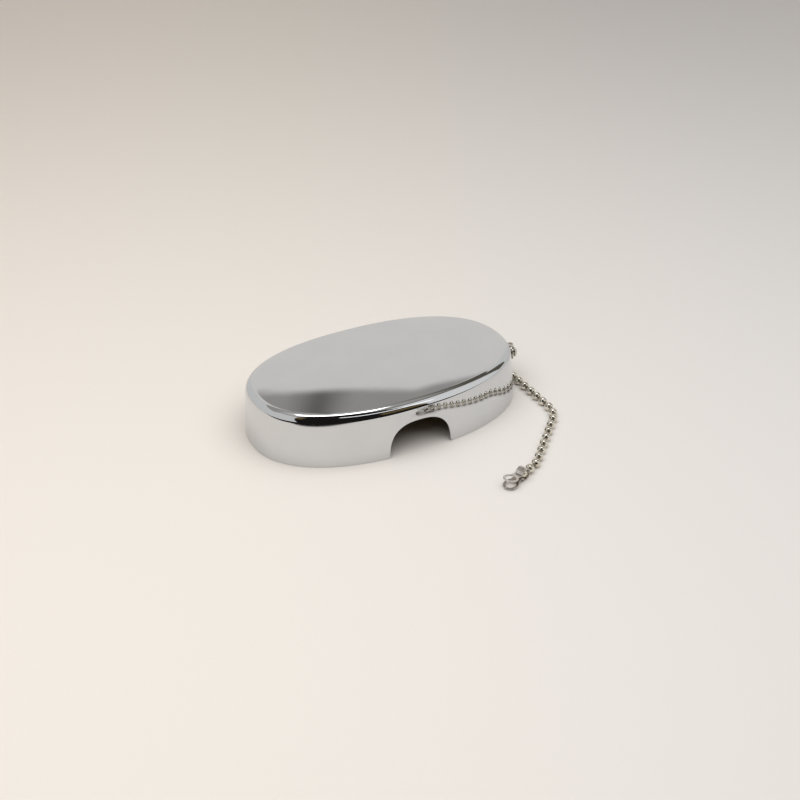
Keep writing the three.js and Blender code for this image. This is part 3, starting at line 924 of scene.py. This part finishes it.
def paper_finish():
    """Smooth ivory paper with a faint grain, and painted shade that darkens it towards the right.

    The sheet ends in front of the cap, in a shallow curve that shows only in reflections.
    """
    finish = Finish("paper", BACKDROP, metallic=0.0)
    tree = finish.tree
    grain = finish.noise(0.6, detail=5)
    # Painted shade: the paper turns darker and cooler towards the right of the view.
    across = dot(tree, finish.place, tuple(CAMERA_LEVEL)).above(0, PAPER_PAINTED_SHADE_SOFTNESS * MM)
    shaded_paper = mixed(tree, across, PAPER_WARM, PAPER_PAINTED_SHADE)
    finish.set("Base Color", mixed(tree, grain * PAPER_GRAIN, shaded_paper, PAPER_SHADE))
    finish.set("Roughness", 0.85)
    finish.bump(grain, 0.01, 0.4)
    aside = dot(tree, finish.place, tuple(CAMERA_LEVEL)) - PAPER_CURVE_ASIDE * MM
    deepest = PAPER_CURVE * PAPER_CURVE_REACH ** 2 * MM
    curve = (aside * aside * (PAPER_CURVE / MM)).math("MINIMUM", deepest)
    ahead = dot(tree, finish.place, tuple(-CAMERA_AHEAD)) + curve
    glossy = Term(tree, tree.nodes.new("ShaderNodeLightPath").outputs["Is Glossy Ray"])
    beyond = ahead.above(PAPER_END * MM, PAPER_END_SOFTNESS * MM) * glossy
    dark = tree.nodes.new("ShaderNodeEmission")
    dark.inputs["Color"].default_value = (*ROOM_DARK, 1)
    mix = tree.nodes.new("ShaderNodeMixShader")
    connect(tree, beyond, mix.inputs[0])
    tree.links.new(finish.shader.outputs[0], mix.inputs[1])
    tree.links.new(dark.outputs[0], mix.inputs[2])
    tree.links.new(mix.outputs[0], tree.nodes["Material Output"].inputs["Surface"])
    return finish.material


# ---- floor, light and camera ----

CAMERA_AZIMUTH = math.radians(-25.87)
CAMERA_ELEVATION = math.radians(31.24)
CAMERA_ROLL = math.radians(-1.44)
CAMERA_DISTANCE = 483.9
CAMERA_ASIDE = -6.76
CAMERA_BELOW = -3.06
CAMERA_LENS = 58.5
CAMERA_LEVEL = Vector((math.cos(CAMERA_AZIMUTH), math.sin(CAMERA_AZIMUTH), 0))
CAMERA_AHEAD = Vector((-math.sin(CAMERA_AZIMUTH), math.cos(CAMERA_AZIMUTH), 0))

FLOOR_HALF_SIZE = 3000
PAPER_WARM = (0.87, 0.82, 0.755)
# Painted shade: the next two lines give the darker, cooler paper on the right of the view, and the softness of its
# edge in millimetres.
PAPER_PAINTED_SHADE = (0.69, 0.68, 0.67)
PAPER_PAINTED_SHADE_SOFTNESS = 250
PAPER_SHADE = (0.6, 0.57, 0.52)
PAPER_GRAIN = 0.06
PAPER_END = 84
PAPER_CURVE = 0.0045
PAPER_CURVE_ASIDE = -10
PAPER_CURVE_REACH = 50
PAPER_END_SOFTNESS = 1.5
ROOM_DARK = (0.012, 0.011, 0.01)
SOFT_LIGHT = (0.79, 0.785, 0.775)
LOW_LIGHT = (0.14, 0.085, 0.035)
SOFT_LIGHT_FROM = (40, 20)
BACKDROP = (0.8, 0.77, 0.72)

# The room that the bright metal mirrors. Azimuths are in degrees, 0 away from the camera and
# + to the right, and heights are elevations. A dim ceiling shows above the walls.
# A SPAN is (low, high, softness) and a FROM is (edge, softness).
GABLE_RIDGE = 37
GABLE_AZIMUTH = 3
GABLE_PITCH = 0.4
GABLE_SPAN = (-11, 11, 1)
SIDE_WALL_TOP = 46
TALL_WALL_TOP = 57
TALL_WALL_LEFT, TALL_WALL_RIGHT = -92, 80
TALL_WALL_SOFTNESS = 6
WALL_TOP_SOFTNESS = 0.8
DOOR_SPAN = (56, 76, 3)
DOOR_SILL = 9
FRONT_LEFT, FRONT_RIGHT = 150, 129
FRONT_LEFT_SLANT = 0.23
FRONT_SOFTNESS = 0.4
SIDE_WALL = (0.70, 0.70, 0.68)
BACK_WALL = (0.78, 0.755, 0.72)
BACK_WALL_SPAN = (-24, 28, 8)
RIGHT_WALL = (0.86, 0.86, 0.85)
RIGHT_WALL_FROM = (80, 40)
CEILING = (0.37, 0.35, 0.33)
CEILING_RIGHT = (0.11, 0.10, 0.08)
CEILING_RIGHT_FROM = (16, 12)
CEILING_PALE = (0.9, 0.88, 0.85)
CEILING_PALE_FROM = (62, 8)
CEILING_PALE_SHARE = 0.4
BEAM = (0.14, 0.135, 0.13)
BEAM_AZIMUTH = -5
BEAM_WIDTH = 3
BEAM_SOFTNESS = 2
FRONT_BROWN = (0.15, 0.105, 0.05)
BROWN_LEFT_SPAN, BROWN_LEFT_HEIGHT_SPAN = (-151, -138, 0.6), (37, 59, 1)
BROWN_RIGHT_SPAN, BROWN_RIGHT_HEIGHT_SPAN = (127, 145, 1), (8, 27, 3)
# The ceiling lamp is a panel, placed by the parts of a unit direction to the right and ahead.
PANEL_BRIGHTNESS = 5.0
PANEL_RIGHT_SPAN = (-0.3, 0.28, 0.015)
PANEL_AHEAD_SPAN = (-0.09, 0.13, 0.015)
PANEL_FROM = (45, 1)
TUBE_BRIGHTNESS = 2.0
TUBE_SPAN = (122, 168, 1)
TUBE_HEIGHT_SPAN = (31.5, 36.5, 0.5)
TUBE_SLANT = 0.43
TUBE_LEVEL_AZIMUTH = 124
SOFTBOX_POWER = 2.2
SOFTBOX_SIZE = (0.8, 0.6)
SOFTBOX_AHEAD = -120
SOFTBOX_HEIGHT = 430
SOFTBOX_ASIDE = 20


def make_floor():
    size = FLOOR_HALF_SIZE
    z = mm(cad_bounds[0]).z
    corners = [(-size, -size, z), (size, -size, z), (size, size, z), (-size, size, z)]
    floor = new_object("floor", corners, [[0, 1, 2, 3]], paper_finish())


def make_camera():
    az, el = CAMERA_AZIMUTH, CAMERA_ELEVATION
    back = Vector((math.sin(az) * math.cos(el), -math.cos(az) * math.cos(el), math.sin(el)))
    up = back.cross(CAMERA_LEVEL)
    x = CAMERA_LEVEL * math.cos(CAMERA_ROLL) + up * math.sin(CAMERA_ROLL)
    y = up * math.cos(CAMERA_ROLL) - CAMERA_LEVEL * math.sin(CAMERA_ROLL)
    place = back * CAMERA_DISTANCE - x * CAMERA_ASIDE - y * CAMERA_BELOW + Z_AXIS * BASE_Z
    data = bpy.data.cameras.new("camera")
    data.lens = CAMERA_LENS
    data.clip_start, data.clip_end = 0.01, 20
    camera = bpy.data.objects.new("camera", data)
    camera.matrix_world = placed(place * MM, x, y, back)
    bpy.context.scene.collection.objects.link(camera)
    bpy.context.scene.camera = camera


def make_world():
    """What rays that leave the scene see.

    Glossy rays see the room, unless a dull surface scattered them first. The camera sees a plain
    backdrop. All other rays get a soft light that is dim and warm near the floor.
    """
    world = bpy.data.worlds.new("studio")
    bpy.context.scene.world = world
    world.use_nodes = True
    tree = world.node_tree
    view = Term(tree, tree.nodes.new("ShaderNodeTexCoord").outputs["Generated"])
    right, ahead = dot(tree, view, tuple(CAMERA_LEVEL)), dot(tree, view, tuple(CAMERA_AHEAD))
    azimuth = right.math("ARCTAN2", ahead) * math.degrees(1)
    elevation = dot(tree, view, (0, 0, 1)).math("ARCSINE") * math.degrees(1)

    gable = (azimuth - GABLE_AZIMUTH).math("ABSOLUTE") * -GABLE_PITCH + GABLE_RIDGE
    back = azimuth.between(*GABLE_SPAN)
    tall = (azimuth * -1).above(-TALL_WALL_LEFT, TALL_WALL_SOFTNESS)
    tall = tall + azimuth.above(TALL_WALL_RIGHT, TALL_WALL_SOFTNESS)
    tops = tall * (TALL_WALL_TOP - SIDE_WALL_TOP) + SIDE_WALL_TOP
    tops = tops + back * (gable - tops)
    tops = tops + azimuth.between(*DOOR_SPAN) * (tops * -1 + DOOR_SILL)

    walls = mixed(tree, azimuth.between(*BACK_WALL_SPAN), SIDE_WALL, BACK_WALL)
    walls = mixed(tree, azimuth.above(*RIGHT_WALL_FROM), walls, RIGHT_WALL)
    ceiling = mixed(tree, azimuth.above(*CEILING_RIGHT_FROM), CEILING, CEILING_RIGHT)
    half_beam = BEAM_WIDTH / 2
    beam = azimuth.between(BEAM_AZIMUTH - half_beam, BEAM_AZIMUTH + half_beam, BEAM_SOFTNESS)
    ceiling = mixed(tree, beam, ceiling, BEAM)
    overhead = elevation.above(*CEILING_PALE_FROM) * CEILING_PALE_SHARE
    ceiling = mixed(tree, overhead, ceiling, CEILING_PALE)
    room = mixed(tree, elevation.above(tops, WALL_TOP_SOFTNESS), walls, ceiling)

    left_end = elevation * -FRONT_LEFT_SLANT + FRONT_LEFT
    front = (azimuth * -1).above(left_end, FRONT_SOFTNESS)
    front = front + azimuth.above(FRONT_RIGHT, FRONT_SOFTNESS)
    brown = azimuth.between(*BROWN_LEFT_SPAN) * elevation.between(*BROWN_LEFT_HEIGHT_SPAN)
    brown_right = azimuth.between(*BROWN_RIGHT_SPAN) * elevation.between(*BROWN_RIGHT_HEIGHT_SPAN)
    brown = brown + brown_right
    room = mixed(tree, front, room, mixed(tree, brown, ROOM_DARK, FRONT_BROWN))

    panel = right.between(*PANEL_RIGHT_SPAN) * ahead.between(*PANEL_AHEAD_SPAN)
    panel = panel * elevation.above(*PANEL_FROM)
    room = mixed(tree, panel, room, (PANEL_BRIGHTNESS,) * 3)
    slope = elevation - (azimuth - TUBE_LEVEL_AZIMUTH) * TUBE_SLANT
    tube = slope.between(*TUBE_HEIGHT_SPAN) * azimuth.between(*TUBE_SPAN)
    room = mixed(tree, tube, room, (TUBE_BRIGHTNESS,) * 3)

    path = tree.nodes.new("ShaderNodeLightPath")
    light = mixed(tree, elevation.above(*SOFT_LIGHT_FROM), LOW_LIGHT, SOFT_LIGHT)
    soft = mixed(tree, Term(tree, path.outputs["Is Camera Ray"]), light, BACKDROP)
    undiffused = Term(tree, path.outputs["Diffuse Depth"]).math("LESS_THAN", 0.5)
    seen = mixed(tree, Term(tree, path.outputs["Is Glossy Ray"]) * undiffused, soft, room)
    connect(tree, seen, tree.nodes["Background"].inputs["Color"])


def make_light():
    """A wide soft lamp over the object, for the shadows on the floor."""
    data = bpy.data.lights.new("softbox", "AREA")
    data.shape = "RECTANGLE"
    data.size, data.size_y = SOFTBOX_SIZE
    data.energy = SOFTBOX_POWER
    lamp = bpy.data.objects.new("softbox", data)
    place = CAMERA_AHEAD * SOFTBOX_AHEAD + Z_AXIS * SOFTBOX_HEIGHT + CAMERA_LEVEL * SOFTBOX_ASIDE
    lamp.location = place * MM
    lamp.rotation_mode = "QUATERNION"
    lamp.rotation_quaternion = lamp.location.to_track_quat("Z", "Y")
    lamp.visible_glossy = False
    bpy.context.scene.collection.objects.link(lamp)


# ---- the whole ----

ball_metal = nickel_finish(
    "ball_nickel", clean=(0.76, 0.725, 0.65), worn=(0.63, 0.585, 0.49), roughness=(0.13, 0.24),
    pattern=1.6, grain=0.25, depth=0.004,
)
link_metal = nickel_finish(
    "link_nickel", clean=(0.55, 0.51, 0.43), worn=(0.42, 0.37, 0.28), roughness=(0.24, 0.38),
    pattern=0.8, grain=0.12, depth=0.006,
)
coupling_metal = nickel_finish(
    "coupling_nickel", clean=(0.66, 0.635, 0.61), worn=(0.50, 0.46, 0.42), roughness=(0.1, 0.2),
    pattern=1.5, grain=0.16, depth=0.005,
)
rivet_metal = nickel_finish(
    "rivet_metal", clean=(0.68, 0.66, 0.60), worn=(0.55, 0.52, 0.44), roughness=(0.1, 0.2),
    pattern=2.0, grain=0.3, depth=0.005,
)
washer_metal = nickel_finish(
    "washer_brass", clean=(0.55, 0.43, 0.22), worn=(0.33, 0.24, 0.13), roughness=(0.35, 0.5),
    pattern=1.2, grain=0.2, depth=0.01,
)

stands_for(make_cap(chrome_finish(), inside_finish()), "cap_shell", "cap")
make_rivet(rivet_metal)
make_washer(washer_metal)
tilts = [mm(joints[f"{name}_tilt"]["pos_m"]) for name in balls]
swing_names = [*(f"{name}_swing" for name in links), "free_coupling_swing"]
swings = [mm(joints[name]["pos_m"]) for name in swing_names]
tilts[0] -= swings[0] - tilts[0]
swings[-1] += swings[-1] - tilts[-1]
for count, (near, far) in enumerate(zip(tilts, swings), 1):
    make_ball(count, near, far, ball_metal)
for count, (near, far) in enumerate(zip(swings, tilts[1:]), 1):
    make_link(count, near, far, link_metal)
make_coupling("coupling_cap_end", 0.0, cap_coupling_place(), coupling_metal)
make_coupling("coupling_free_end", FREE_END_OPENING, free_coupling_place(), coupling_metal)
make_floor()
make_camera()
make_world()
make_light()
bpy.context.scene.view_settings.view_transform = "Standard"
